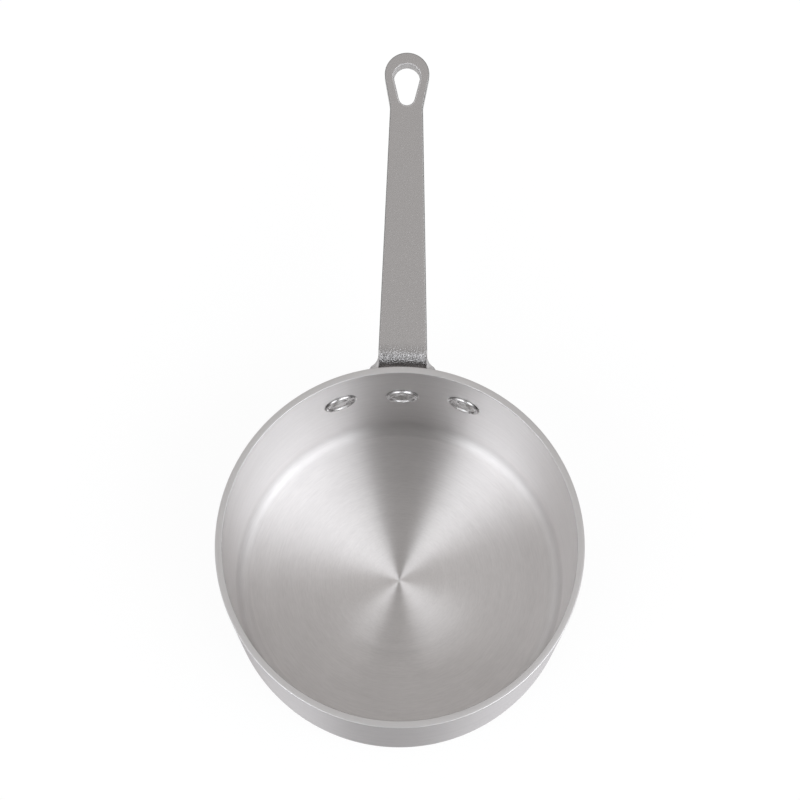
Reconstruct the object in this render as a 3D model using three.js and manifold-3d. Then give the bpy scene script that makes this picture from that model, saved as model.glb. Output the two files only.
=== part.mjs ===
// Aluminium saucepan: a spun pan body, a pressed steel channel handle and the three rivets that join them.
// Millimetres, +Z up. The origin is the centre of the pan's underside, and the handle points along +Y.
import * as THREE from "three";
import { mergeVertices } from "three/addons/utils/BufferGeometryUtils.js";
import Module from "manifold-3d";

const wasm = await Module();
wasm.setup();

// Pan body
const RIM_DIAMETER = 208; // outside, at the rim
const BASE_DIAMETER = 202; // outside, where the wall's line meets the underside
const PAN_HEIGHT = 103;
const WALL = 4;
const FLOOR = 4;
const INNER_CORNER = 9; // radius between the floor and the wall, inside
const RIM_ROUND = 0.8; // radius of the rim's two edges

// Rivets
const SHANK_DIAMETER = 7;
const HEAD_DIAMETER = 19.8; // the low heads inside the pan
const HEAD_HEIGHT = 2.6;
const HEAD_EDGE = 0.7; // upright edge of a head before it starts to dome
const DISH_DIAMETER = 8; // shallow hollow in the middle of a head
const DISH_DEPTH = 0.5;
const TAIL_DIAMETER = 14; // the upset ends outside, on the handle
const TAIL_HEIGHT = 3;
const TAIL_EDGE = 0.8;
const TAIL_FLAT_DIAMETER = 6;
const CENTRE_RIVET_DROP = 42; // from the rim down to the rivet's axis
const SIDE_RIVET_DROP = 36;
const SIDE_RIVET_ARC = 38.5; // from the centre rivet round the wall to a side rivet

// Handle
const SHEET = 1.6; // thickness of the pressed steel
const HANDLE_LENGTH = 187.5; // along the top plate, from the wall to the tip
const HANDLE_SLOPE = THREE.MathUtils.degToRad(6);
const HANDLE_DROP = 2; // of the top plate's line below the rim, at the wall
const ROOT_WIDTH = 28;
const NECK_WIDTH = 19.2;
const NECK_TO_EYE = 20.1; // from the neck to the centre of the round end
const NECK_FILLET = 3;
const EYE_DIAMETER = 26.1;
const CHANNEL_DEPTH = 9; // from the top plate's face to the lower edge of the turned-down sides
const HOLE_FAR_DIAMETER = 15.2; // the keyhole's wide end, next to the tip
const HOLE_NEAR_DIAMETER = 9.4;
const HOLE_CENTRES = 12.2; // between the centres of its two round ends
const HOLE_LAND = 7.3; // from the hole to the tip
const COLLAR_DEPTH = 8.2; // the hole's turned-down lip
const ELBOW_RADIUS = 11; // outside radius of the bend into the centre tab
const TAB_SIDE = 0.85; // of each side that shows beside the tab
const FLARE_RADIUS = 7.5; // outside radius where a side turns into its wing
const WING_RADIUS = 13; // round end of a wing, about its rivet
const WING_TOP_DROP = 7.5; // from the rim down to a wing's upper edge beside the handle
const GUSSET_FOOT = 9; // from the wall along a side's level lower edge
const GUSSET_ROUND = 4; // along each edge, where the level edge turns up
const GUSSET_KNEE = 22; // from the wall to where the lower edge's curve is aimed
const GUSSET_REACH = 70; // from the wall to where the sides are down to the channel's depth

// Fits and smoothness
const FIT_GAP = 0.3; // between pieces that seat on or pass through each other
const JOIN = 1; // overlap of shapes that are joined into one piece
const ROUND_SEGMENTS = 96; // round the pan
const RIVET_SEGMENTS = 24;
const PROFILE_STEPS = 3; // half the steps along an arc of a turned profile
const OUTLINE_STEPS = 7; // half the steps along an arc of a pushed outline
const MERGE = 1e-3; // vertices closer than this are one

// Derived places
const rimRadius = RIM_DIAMETER / 2;
const baseRadius = BASE_DIAMETER / 2;
const draft = Math.atan2(rimRadius - baseRadius, PAN_HEIGHT);
const outerCorner = INNER_CORNER + WALL;
const clear = 2 * RIM_DIAMETER + HANDLE_LENGTH; // longer than anything that a cut has to pass

// Profile directions in (radius, z): up the wall and out of it, along the handle's top plate and out of that.
const upWall = new THREE.Vector2(Math.sin(draft), Math.cos(draft));
const outOfWall = new THREE.Vector2(Math.cos(draft), -Math.sin(draft));
const alongTop = new THREE.Vector2(Math.cos(HANDLE_SLOPE), Math.sin(HANDLE_SLOPE));
const outOfTop = new THREE.Vector2(-Math.sin(HANDLE_SLOPE), Math.cos(HANDLE_SLOPE));

// Radius of a surface parallel to the wall's outside, at a height. offset is measured square to the wall.
function wallRadius(z, offset = 0) {
  return baseRadius + z * Math.tan(draft) + offset / Math.cos(draft);
}

// Where the top plate's line meets the face that the handle seats on.
const rootZ = PAN_HEIGHT - HANDLE_DROP;
const root = new THREE.Vector2(wallRadius(rootZ, FIT_GAP), rootZ);
const elbowCorner = Math.PI / 2 + draft + HANDLE_SLOPE; // angle between the tab and the top plate
const elbowTangent = ELBOW_RADIUS / Math.tan(elbowCorner / 2);
const elbowCentre = root
  .clone()
  .addScaledVector(alongTop, elbowTangent)
  .addScaledVector(outOfTop, -ELBOW_RADIUS);

// Solids from closed geometry, and back

// Vertices closer than MERGE are one, and a triangle that loses a corner to that, as on a turned shape's axis, goes.
function solid(geometry) {
  const bare = new THREE.BufferGeometry();
  const flat = geometry.index ? geometry.toNonIndexed() : geometry;
  bare.setAttribute("position", flat.getAttribute("position"));
  const merged = mergeVertices(bare, MERGE);
  const corners = merged.index.array;
  const kept = [];
  for (let i = 0; i < corners.length; i += 3) {
    const [a, b, c] = corners.slice(i, i + 3);
    if (a !== b && b !== c && c !== a) kept.push(a, b, c);
  }
  const vertProperties = merged.getAttribute("position").array;
  const triVerts = new Uint32Array(kept);
  return new wasm.Manifold(new wasm.Mesh({ numProp: 3, vertProperties, triVerts }));
}

function piece(name, shape, material) {
  const { vertProperties, triVerts } = shape.getMesh();
  const geometry = new THREE.BufferGeometry();
  geometry.setAttribute("position", new THREE.BufferAttribute(vertProperties, 3));
  geometry.setIndex(new THREE.BufferAttribute(triVerts, 1));
  const facets = geometry.toNonIndexed();
  facets.computeVertexNormals();
  const mesh = new THREE.Mesh(facets, material);
  mesh.name = name;
  return mesh;
}

// A profile in (radius, z), turned round the Z axis.
function turned(points, segments) {
  return new THREE.LatheGeometry(points, segments).rotateX(Math.PI / 2);
}

// An outline pushed from 0 to depth along its third axis.
function pushed(outline, depth) {
  return new THREE.ExtrudeGeometry(outline, { depth, bevelEnabled: false, curveSegments: OUTLINE_STEPS });
}

// A side view outline in (y, z), pushed right across X.
function acrossX(outline) {
  const axes = new THREE.Matrix4().makeBasis(
    new THREE.Vector3(0, 1, 0),
    new THREE.Vector3(0, 0, 1),
    new THREE.Vector3(1, 0, 0),
  );
  return solid(pushed(outline, clear).translate(0, 0, -clear / 2).applyMatrix4(axes));
}

// A front view outline in (x, z), pushed from the pan's axis along +Y.
function alongY(outline) {
  return solid(pushed(outline, clear).rotateX(Math.PI / 2).translate(0, clear, 0));
}

// A plan outline in (x, y), pushed right through Z, leaning with the wall about the handle's root.
function leaningWithWall(outline) {
  const lean = new THREE.Matrix4().makeShear(0, 0, 0, 0, 0, Math.tan(draft));
  return solid(pushed(outline, clear).translate(0, 0, -clear / 2).applyMatrix4(lean).translate(0, 0, rootZ));
}

// A closed band between two surfaces parallel to the wall's outside, over the pan's whole height.
function wallBand(innerOffset, outerOffset) {
  const corners = [
    [innerOffset, 0],
    [outerOffset, 0],
    [outerOffset, PAN_HEIGHT],
    [innerOffset, PAN_HEIGHT],
    [innerOffset, 0],
  ];
  const points = corners.map(([offset, z]) => new THREE.Vector2(wallRadius(z, offset), z));
  return solid(turned(points, ROUND_SEGMENTS));
}

// Rivets

const rivets = [
  { name: "rivet_left", arc: -SIDE_RIVET_ARC, drop: SIDE_RIVET_DROP },
  { name: "rivet_centre", arc: 0, drop: CENTRE_RIVET_DROP },
  { name: "rivet_right", arc: SIDE_RIVET_ARC, drop: SIDE_RIVET_DROP },
].map(({ name, arc, drop }) => {
  const z = PAN_HEIGHT - drop;
  const angle = arc / wallRadius(z);
  const radial = new THREE.Vector3(Math.sin(angle), Math.cos(angle), 0);
  const axis = radial.clone().multiplyScalar(outOfWall.x).setZ(outOfWall.y);
  const tangent = new THREE.Vector3(radial.y, -radial.x, 0);
  const upward = axis.clone().cross(tangent);
  const seat = radial.clone().multiplyScalar(wallRadius(z)).setZ(z);
  const frame = new THREE.Matrix4().makeBasis(tangent, upward, axis).setPosition(seat);
  return { name, z, angle, x: seat.x, frame };
});
const sideRivet = rivets[2];
const centreRivet = rivets[1];

// A cylinder along a rivet's axis, from one depth to another. Depth 0 is the wall's outside.
function rivetRod(rivet, diameter, from, to) {
  const rod = new THREE.CylinderGeometry(diameter / 2, diameter / 2, to - from, RIVET_SEGMENTS);
  rod.rotateX(Math.PI / 2).translate(0, 0, (from + to) / 2);
  return solid(rod.applyMatrix4(rivet.frame));
}

// A turned end of a rivet: flat or dished in the middle, then domed to an upright edge that runs into the wall.
// Its heights are measured from seat, which way is 1 outward and -1 inward.
function rivetEnd(rivet, { diameter, height, edge, middle, dish, seat, way }) {
  const half = diameter / 2;
  const path = new THREE.Path();
  path.moveTo(0, height - dish);
  path.quadraticCurveTo(middle / 4, height - dish, middle / 2, height);
  path.absellipse(middle / 2, edge, half - middle / 2, height - edge, Math.PI / 2, 0, true);
  path.lineTo(half, -WALL / 2);
  path.lineTo(0, -WALL / 2);
  const points = path.getPoints(PROFILE_STEPS).map((p) => new THREE.Vector2(p.x, seat + way * p.y));
  const upright = way > 0 ? points.reverse() : points;
  return solid(turned(upright, RIVET_SEGMENTS).applyMatrix4(rivet.frame));
}

const stack = FIT_GAP + SHEET; // from the wall's outside to the handle's outside, at a rivet

function makeRivet(rivet) {
  const head = rivetEnd(rivet, {
    diameter: HEAD_DIAMETER,
    height: HEAD_HEIGHT,
    edge: HEAD_EDGE,
    middle: DISH_DIAMETER,
    dish: DISH_DEPTH,
    seat: -WALL - FIT_GAP,
    way: -1,
  });
  const tail = rivetEnd(rivet, {
    diameter: TAIL_DIAMETER,
    height: TAIL_HEIGHT,
    edge: TAIL_EDGE,
    middle: TAIL_FLAT_DIAMETER,
    dish: 0,
    seat: stack + FIT_GAP,
    way: 1,
  });
  const seats = wallBand(-WALL - FIT_GAP, stack + FIT_GAP);
  const shank = rivetRod(rivet, SHANK_DIAMETER, -WALL - FIT_GAP - JOIN, stack + FIT_GAP + JOIN);
  return head.add(tail).subtract(seats).add(shank);
}

function rivetHoles() {
  const diameter = SHANK_DIAMETER + 2 * FIT_GAP;
  const holes = rivets.map((rivet) => rivetRod(rivet, diameter, -WALL - FLOOR, stack + WALL));
  return holes.reduce((all, hole) => all.add(hole));
}

// Pan body

function makePanBody() {
  const quarter = Math.PI / 2;
  const outerX = wallRadius(outerCorner, -outerCorner);
  const innerZ = FLOOR + INNER_CORNER;
  const innerX = wallRadius(innerZ, -WALL - INNER_CORNER);
  const rimRound = Math.min(RIM_ROUND, WALL / 2);
  const rimZ = PAN_HEIGHT - rimRound;
  const path = new THREE.Path();
  path.moveTo(0, 0);
  path.lineTo(outerX, 0);
  path.absarc(outerX, outerCorner, outerCorner, -quarter, -draft, false);
  path.absarc(wallRadius(rimZ, -rimRound), rimZ, rimRound, -draft, quarter, false);
  path.absarc(wallRadius(rimZ, rimRound - WALL), rimZ, rimRound, quarter, 2 * quarter - draft, false);
  path.absarc(innerX, innerZ, INNER_CORNER, -draft, -quarter, true);
  path.lineTo(0, FLOOR);
  const shell = solid(turned(path.getPoints(PROFILE_STEPS), ROUND_SEGMENTS));
  return shell.subtract(rivetHoles());
}

// Handle, drawn on its top plate: x across it, s along it from the wall

const tipS = HANDLE_LENGTH;
const eyeS = tipS - EYE_DIAMETER / 2;
const neckS = eyeS - NECK_TO_EYE;
const holeFarS = tipS - HOLE_LAND - HOLE_FAR_DIAMETER / 2;
const taper = (ROOT_WIDTH - NECK_WIDTH) / 2 / (neckS - elbowTangent);

// Half width of the handle at a place along it. The sides are parallel from the wall to the elbow.
function halfWidth(s) {
  return ROOT_WIDTH / 2 - taper * Math.max(0, s - elbowTangent);
}

const onTopPlate = new THREE.Matrix4()
  .makeRotationX(HANDLE_SLOPE)
  .setPosition(0, root.x, root.y);

// An outline on the top plate, pushed from one depth below its face to another.
function belowTop(outline, from, to) {
  return solid(pushed(outline, to - from).translate(0, 0, -to).applyMatrix4(onTopPlate));
}

// The outline from the elbow to the eye, brought in by inset all round. start is where it begins along the plate.
function beamOutline(inset, start) {
  const side = new THREE.Vector2(1, taper).normalize(); // square to the right edge, outward
  const neckCentre = new THREE.Vector2(halfWidth(neckS), neckS).addScaledVector(side, NECK_FILLET);
  const neckRadius = NECK_FILLET + inset;
  const eyeRadius = EYE_DIAMETER / 2 - inset;
  const toEye = new THREE.Vector2(0, eyeS).sub(neckCentre);
  const flank = toEye.angle() + Math.acos((neckRadius + eyeRadius) / toEye.length());
  const edge = side.clone().negate().angle();
  const startHalf = halfWidth(start) - inset;
  const outline = new THREE.Shape();
  outline.moveTo(-startHalf, start);
  outline.lineTo(startHalf, start);
  outline.absarc(neckCentre.x, neckCentre.y, neckRadius, edge, flank, true);
  outline.absarc(0, eyeS, eyeRadius, flank - Math.PI, 2 * Math.PI - flank, false);
  outline.absarc(-neckCentre.x, neckCentre.y, neckRadius, Math.PI - flank, Math.PI - edge, true);
  return outline;
}

// The keyhole, brought out by grow all round.
function holeOutline(grow) {
  const far = HOLE_FAR_DIAMETER / 2 + grow;
  const near = HOLE_NEAR_DIAMETER / 2 + grow;
  const lean = Math.asin((far - near) / HOLE_CENTRES);
  const outline = new THREE.Shape();
  outline.absarc(0, holeFarS, far, -lean, Math.PI + lean, false);
  outline.absarc(0, holeFarS - HOLE_CENTRES, near, Math.PI + lean, 2 * Math.PI - lean, false);
  return outline;
}

// The channel from the elbow outward, with the hole's collar.
function makeBeam() {
  const outside = belowTop(beamOutline(0, elbowTangent), 0, CHANNEL_DEPTH);
  const inside = belowTop(beamOutline(SHEET, elbowTangent - JOIN), SHEET, CHANNEL_DEPTH + JOIN);
  const collar = belowTop(holeOutline(SHEET), 0, COLLAR_DEPTH);
  const hole = belowTop(holeOutline(0), -JOIN, COLLAR_DEPTH + JOIN);
  return outside.subtract(inside).add(collar).subtract(hole);
}

// The top plate's end, turned down round the elbow and along the wall to a round end below the centre rivet.
function makeTab() {
  const tabLength = root.y / Math.cos(draft);
  const low = root.clone().addScaledVector(upWall, -tabLength);
  const bendFoot = root.clone().addScaledVector(upWall, -elbowTangent);
  const high = root.clone().addScaledVector(alongTop, elbowTangent + JOIN);
  const wallSide = Math.PI - draft;
  const topSide = Math.PI / 2 + HANDLE_SLOPE;
  const strap = new THREE.Shape();
  strap.moveTo(low.x, low.y);
  strap.lineTo(bendFoot.x, bendFoot.y);
  strap.absarc(elbowCentre.x, elbowCentre.y, ELBOW_RADIUS, wallSide, topSide, true);
  strap.lineTo(high.x, high.y);
  strap.lineTo(high.x - SHEET * outOfTop.x, high.y - SHEET * outOfTop.y);
  strap.absarc(elbowCentre.x, elbowCentre.y, ELBOW_RADIUS - SHEET, topSide, wallSide, false);
  strap.lineTo(low.x + SHEET * outOfWall.x, low.y + SHEET * outOfWall.y);
  strap.lineTo(low.x, low.y);
  const half = ROOT_WIDTH / 2 - TAB_SIDE;
  const front = new THREE.Shape();
  front.moveTo(half, PAN_HEIGHT + ELBOW_RADIUS);
  front.lineTo(-half, PAN_HEIGHT + ELBOW_RADIUS);
  front.absarc(0, centreRivet.z, half, Math.PI, 2 * Math.PI, false);
  const ring = solid(turned(strap.getPoints(PROFILE_STEPS).reverse(), ROUND_SEGMENTS));
  return ring.intersect(alongY(front));
}

// The sides from the channel down to the wall, each turned out into a wing that hugs it. A web at the level of the top
// plate closes the corner that the turn leaves beside the tab. Drawn for +X and mirrored.
function makeRightSide() {
  const seat = root.x;
  const back = seat + SHEET;
  const half = ROOT_WIDTH / 2;
  const gussetS = GUSSET_REACH / Math.cos(HANDLE_SLOPE);
  const flare = new THREE.Vector2(half + FLARE_RADIUS, 0);
  flare.y = Math.sqrt((back + FLARE_RADIUS) ** 2 - flare.x ** 2);
  const toAxis = Math.PI + flare.angle();
  const wingRoot = flare.x * (back / (back + FLARE_RADIUS));
  const elbowY = seat + elbowTangent * Math.cos(HANDLE_SLOPE);
  const farY = seat + GUSSET_REACH;
  const strip = new THREE.Shape();
  strip.moveTo(halfWidth(gussetS), farY);
  strip.lineTo(half - SHEET - (half - halfWidth(gussetS)), farY);
  strip.lineTo(half - SHEET, elbowY);
  strip.absarc(flare.x, flare.y, FLARE_RADIUS + SHEET, Math.PI, toAxis, false);
  strip.absarc(flare.x, flare.y, FLARE_RADIUS, toAxis, Math.PI, true);
  strip.lineTo(half, elbowY);

  const wingFoot = sideRivet.z - WING_RADIUS;
  const topAt = (y) => root.y + (y - seat) * Math.tan(HANDLE_SLOPE);
  const under = CHANNEL_DEPTH / Math.cos(HANDLE_SLOPE);
  const foot = new THREE.Vector2(seat + GUSSET_FOOT, wingFoot);
  const knee = new THREE.Vector2(seat + GUSSET_KNEE, 0);
  knee.y = topAt(knee.x) - under;
  const rise = knee.clone().sub(foot).setLength(GUSSET_ROUND).add(foot);
  const side = new THREE.Shape();
  side.moveTo(0, wingFoot);
  side.lineTo(foot.x - GUSSET_ROUND, wingFoot);
  side.quadraticCurveTo(foot.x, foot.y, rise.x, rise.y);
  side.quadraticCurveTo(knee.x, knee.y, farY, topAt(farY) - under);
  side.lineTo(farY, topAt(farY));
  side.lineTo(0, topAt(0));
  const wall = leaningWithWall(strip).intersect(acrossX(side));

  const corner = new THREE.Shape();
  corner.moveTo(half - SHEET, elbowY);
  corner.lineTo(half - SHEET, seat - WALL);
  corner.lineTo(wingRoot, seat - WALL);
  corner.absarc(flare.x, flare.y, FLARE_RADIUS, toAxis, Math.PI, true);
  corner.lineTo(half, elbowY);
  const sheetDrop = SHEET / Math.cos(HANDLE_SLOPE);
  const slab = new THREE.Shape();
  slab.moveTo(0, topAt(0) - sheetDrop);
  slab.lineTo(farY, topAt(farY) - sheetDrop);
  slab.lineTo(farY, topAt(farY));
  slab.lineTo(0, topAt(0));
  const web = leaningWithWall(corner).intersect(acrossX(slab));

  const wingTop = PAN_HEIGHT - WING_TOP_DROP;
  const lobeTop = sideRivet.z + WING_RADIUS;
  const wing = new THREE.Shape();
  wing.moveTo(wingRoot - JOIN, wingFoot);
  wing.lineTo(sideRivet.x, wingFoot);
  wing.absarc(sideRivet.x, sideRivet.z, WING_RADIUS, -Math.PI / 2, Math.PI / 2, false);
  wing.quadraticCurveTo(wingRoot, lobeTop, wingRoot - JOIN, wingTop);
  return wall.add(web).add(wallBand(FIT_GAP, stack).intersect(alongY(wing)));
}

function makeHandle() {
  const right = makeRightSide();
  const room = wallBand(-rimRadius / 2, FIT_GAP);
  const sides = right.add(right.mirror([1, 0, 0]));
  return makeBeam().add(makeTab()).add(sides).subtract(room).subtract(rivetHoles());
}

// Finishes

const satinAluminium = new THREE.MeshStandardMaterial({ color: 0xc4c2c1, roughness: 0.35, metalness: 1 });
const speckledSteel = new THREE.MeshStandardMaterial({ color: 0x9f9d9b, roughness: 0.45, metalness: 1 });
const brightAluminium = new THREE.MeshStandardMaterial({ color: 0xcfcdcc, roughness: 0.2, metalness: 1 });

const saucepan = new THREE.Group();
saucepan.name = "saucepan";
saucepan.add(piece("pan_body", makePanBody(), satinAluminium));
saucepan.add(piece("handle", makeHandle(), speckledSteel));
for (const rivet of rivets) saucepan.add(piece(rivet.name, makeRivet(rivet), brightAluminium));

export default saucepan;
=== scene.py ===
# %% [markdown]
# # A riveted aluminium saucepan
# The real pan is three kinds of piece: a spun aluminium shell, a pressed steel handle and three rivets. The
# imported solids say where each one sits, so they are loaded first.

from math import acos, asin, atan2, cos, pi, radians, sin, sqrt, tan

import bmesh
import bpy
from mathutils import Matrix, Vector
from mathutils.kdtree import KDTree


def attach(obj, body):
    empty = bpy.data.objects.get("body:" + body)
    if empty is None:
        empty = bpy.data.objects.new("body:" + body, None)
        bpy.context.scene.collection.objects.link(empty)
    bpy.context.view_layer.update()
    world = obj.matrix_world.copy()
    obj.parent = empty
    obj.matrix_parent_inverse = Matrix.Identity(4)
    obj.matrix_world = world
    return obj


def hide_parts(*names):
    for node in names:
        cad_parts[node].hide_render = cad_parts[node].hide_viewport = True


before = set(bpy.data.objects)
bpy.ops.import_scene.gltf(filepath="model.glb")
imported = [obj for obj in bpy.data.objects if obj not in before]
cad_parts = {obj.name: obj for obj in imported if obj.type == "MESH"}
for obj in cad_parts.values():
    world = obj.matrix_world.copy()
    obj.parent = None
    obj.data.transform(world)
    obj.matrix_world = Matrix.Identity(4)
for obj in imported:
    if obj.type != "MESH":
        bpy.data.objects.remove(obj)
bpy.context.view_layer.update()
scene = bpy.context.scene
scene.view_settings.view_transform = "Standard"
print("packed solids:", sorted(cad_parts))

# %% [markdown]
# ## Small helpers
# Sizes are easier to think about in millimetres, while Blender works in metres. Points are therefore
# collected in millimetres and scaled once, where a mesh is made from them.

# %% Meshes from points, and pieces from meshes
MM = 0.001


def mesh_from(name, points, faces):
    """A mesh from points in millimetres and faces that list their numbers."""
    mesh = bpy.data.meshes.new(name)
    mesh.from_pydata([Vector(point) * MM for point in points], [], faces)
    mesh.update()
    return mesh


def worked(mesh, kind, **settings):
    """A new mesh: the old one after a modifier."""
    scratch = bpy.data.objects.new("scratch", mesh)
    scene.collection.objects.link(scratch)
    modifier = scratch.modifiers.new(kind.title(), kind)
    for setting, value in settings.items():
        setattr(modifier, setting, value)
    depsgraph = bpy.context.evaluated_depsgraph_get()
    result = bpy.data.meshes.new_from_object(scratch.evaluated_get(depsgraph))
    bpy.data.objects.remove(scratch)
    return result


def show(name, mesh, crease, metals, node):
    """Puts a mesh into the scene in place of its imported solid. It is shaded smooth, apart from edges where
    two faces meet at more than crease degrees, and its faces start with the first of the metals."""
    mesh.name = name
    mesh.shade_smooth()
    mesh.set_sharp_from_angle(angle=radians(crease))
    mesh.materials.clear()
    for metal in metals:
        mesh.materials.append(metal)
    piece = bpy.data.objects.new(name, mesh)
    scene.collection.objects.link(piece)
    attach(piece, "root")
    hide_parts(node)
    print(name, len(mesh.polygons), "faces")

# %% [markdown]
# ## Camera
# The pan is seen from high in front, with the handle pointing away. The angles, the distance and the point
# aimed at were fitted to the rim, the floor's corner and the handle's outline. A long lens keeps the
# perspective mild.

# %% Camera
ELEVATION = radians(74.1)
ROLL = radians(0.71)
TURN = radians(0.18)
DISTANCE = 1460.6
LENS, SENSOR = 117.0, 36.0
AIM_RIGHT, AIM_UP = -0.91, 80.7
RIM_HEIGHT = 103.0

level_right = Vector((1, 0, 0))
level_up = Vector((0, sin(ELEVATION), cos(ELEVATION)))
back = Vector((0, -cos(ELEVATION), sin(ELEVATION)))
right = level_right * cos(ROLL) + level_up * sin(ROLL)
up = level_up * cos(ROLL) - level_right * sin(ROLL)
aim = Vector((0, 0, RIM_HEIGHT)) + level_right * AIM_RIGHT + level_up * AIM_UP

camera_data = bpy.data.cameras.new("camera")
camera_data.lens = LENS
camera_data.sensor_width = SENSOR
camera = bpy.data.objects.new("camera", camera_data)
axes = Matrix((right, up, back)).transposed().to_4x4()
camera.matrix_world = Matrix.Rotation(TURN, 4, "Z") @ Matrix.Translation((aim + back * DISTANCE) * MM) @ axes
scene.collection.objects.link(camera)
scene.camera = camera
print("camera at", [round(value, 3) for value in camera.matrix_world.translation])

# %% [markdown]
# ## Node groups
# Two effects appear in more than one finish, so each is a node group that is built once. The first is the
# set of fine rings that a lathe leaves: noise that is stretched round the axis. Its coordinates are the
# direction from the axis, which changes slowly, and the distance from the axis plus the height, which
# changes fast. That sum, the travel, grows along the floor, round the corner and up the wall, so one noise
# covers them all without a seam. The group also puts out shorter dashes, and the travel itself, so that a
# finish can change along the profile. Each noise has a scale and a detail.

# %% Helpers for nodes
def feed(node, inputs):
    """Fills a node's inputs: a socket is linked, and any other value is set."""
    for name, value in inputs.items():
        if isinstance(value, bpy.types.NodeSocket):
            node.id_data.links.new(value, node.inputs[name])
        else:
            node.inputs[name].default_value = value


def new_node(tree, kind, inputs=None, **settings):
    """A node with its settings made and its inputs filled."""
    node = tree.nodes.new(kind)
    for setting, value in settings.items():
        setattr(node, setting, value)
    feed(node, inputs or {})
    return node


def math_node(tree, operation, first, second):
    """The result of a Math node."""
    return new_node(tree, "ShaderNodeMath", {0: first, 1: second}, operation=operation).outputs[0]


def vector_node(tree, operation, first, second=None):
    """The result of a Vector Math node."""
    inputs = {0: first}
    if second is not None:
        inputs["Scale" if operation == "SCALE" else 1] = second
    node = new_node(tree, "ShaderNodeVectorMath", inputs, operation=operation)
    return node.outputs["Value" if operation == "LENGTH" else "Vector"]


def noise_node(tree, vector, scale, detail, roughness=0.5):
    """The grey of a noise texture."""
    inputs = {"Vector": vector, "Scale": scale, "Detail": detail, "Roughness": roughness}
    return new_node(tree, "ShaderNodeTexNoise", inputs).outputs["Fac"]


def object_place(tree):
    """Each point's place on its piece, in metres."""
    return new_node(tree, "ShaderNodeTexCoord").outputs["Object"]


def split(tree, vector):
    """The X, Y and Z of a vector."""
    return new_node(tree, "ShaderNodeSeparateXYZ", {0: vector}).outputs


def new_group(name, inputs, outputs):
    """An empty node group with number sockets, and its input and output nodes."""
    group = bpy.data.node_groups.new(name, "ShaderNodeTree")
    for socket, value in inputs.items():
        made = group.interface.new_socket(socket, in_out="INPUT", socket_type="NodeSocketFloat")
        made.default_value = value
    for socket in outputs:
        group.interface.new_socket(socket, in_out="OUTPUT", socket_type="NodeSocketFloat")
    return group, group.nodes.new("NodeGroupInput"), group.nodes.new("NodeGroupOutput")

# %% Lathe rings
FINE, BROAD, DASH = (1.0, 3.0), (0.17, 2.0), (0.8, 2.0)
DASH_BREAKS = 6.0
RING_INPUTS = {"Rings per Metre": 1600.0, "Arc Breaks": 2.5}
rings, rings_in, rings_out = new_group("lathe_rings", RING_INPUTS, ["Height", "Tone", "Dashes", "Travel"])
ring_place = object_place(rings)
flat_place = vector_node(rings, "MULTIPLY", ring_place, (1, 1, 0))
from_axis = vector_node(rings, "LENGTH", flat_place)
direction = vector_node(rings, "NORMALIZE", flat_place)
round_axis = vector_node(rings, "SCALE", direction, rings_in.outputs["Arc Breaks"])
travel = math_node(rings, "ADD", from_axis, split(rings, ring_place)["Z"])
fast_travel = math_node(rings, "MULTIPLY", travel, rings_in.outputs["Rings per Metre"])
lift = new_node(rings, "ShaderNodeCombineXYZ", {"Z": fast_travel}).outputs[0]
line_place = vector_node(rings, "ADD", round_axis, lift)
dash_place = vector_node(rings, "ADD", vector_node(rings, "SCALE", round_axis, DASH_BREAKS), lift)
fine_lines = noise_node(rings, line_place, *FINE)
both_lines = math_node(rings, "ADD", fine_lines, noise_node(rings, line_place, *BROAD))
feed(rings_out, {
    "Height": fine_lines,
    "Tone": math_node(rings, "MULTIPLY", both_lines, 0.5),
    "Dashes": noise_node(rings, dash_place, *DASH),
    "Travel": travel,
})
print("group", rings.name, len(rings.nodes), "nodes")

# %% [markdown]
# The second group is handling: faint cloudy patches where the metal has been touched and wiped. Every
# finish uses it, each with its own patch size.

# %% Handling marks
CLOUD_DETAIL, CLOUD_ROUGHNESS = 4.0, 0.6
handling, handling_in, handling_out = new_group("handling_marks", {"Patches per Metre": 40.0}, ["Cloud"])
patches = handling_in.outputs["Patches per Metre"]
cloud_noise = noise_node(handling, object_place(handling), patches, CLOUD_DETAIL, CLOUD_ROUGHNESS)
feed(handling_out, {"Cloud": cloud_noise})
print("group", handling.name, len(handling.nodes), "nodes")

# %% [markdown]
# ## Finishes
# Every finish is bare metal: a Principled shader that is fully metallic, with its colour and its roughness
# moved a little by the groups. Plain constant values would look like plastic foil.

# %% Helpers for finishes
def new_finish(name, color, roughness):
    """A metal: a material, its node tree and its Principled shader."""
    material = bpy.data.materials.new(name)
    material.use_nodes = True
    metal = material.node_tree.nodes["Principled BSDF"]
    feed(metal, {"Base Color": (*color, 1.0), "Metallic": 1.0, "Roughness": roughness})
    print("finish", name)
    return material, material.node_tree, metal


def clouds(tree, per_metre):
    """The grey of the handling marks, from their number per metre."""
    inputs = {"Patches per Metre": per_metre}
    return new_node(tree, "ShaderNodeGroup", inputs, node_tree=handling).outputs["Cloud"]


def weighed(tree, *parts):
    """The sum of greys, each given with its weight."""
    total = 0.0
    for grey, weight in parts:
        total = math_node(tree, "ADD", math_node(tree, "MULTIPLY", grey, weight), total)
    return total


def zoned(tree, value, zones):
    """A colour that changes with a value, through stops that are each a place from 0 to 1 and a colour."""
    ramp = new_node(tree, "ShaderNodeValToRGB", {"Fac": value})
    stops = ramp.color_ramp.elements
    stops.remove(stops[-1])
    for number, (stop_place, color) in enumerate(zones):
        stop = stops[0] if number == 0 else stops.new(stop_place)
        stop.position = stop_place
        stop.color = (*color, 1.0)
    return ramp.outputs["Color"]


def multiplied(tree, first, second):
    """Two colours, multiplied."""
    inputs = {"Factor": 1.0, "A": first, "B": second}
    return new_node(tree, "ShaderNodeMix", inputs, data_type="RGBA", blend_type="MULTIPLY").outputs["Result"]


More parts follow.
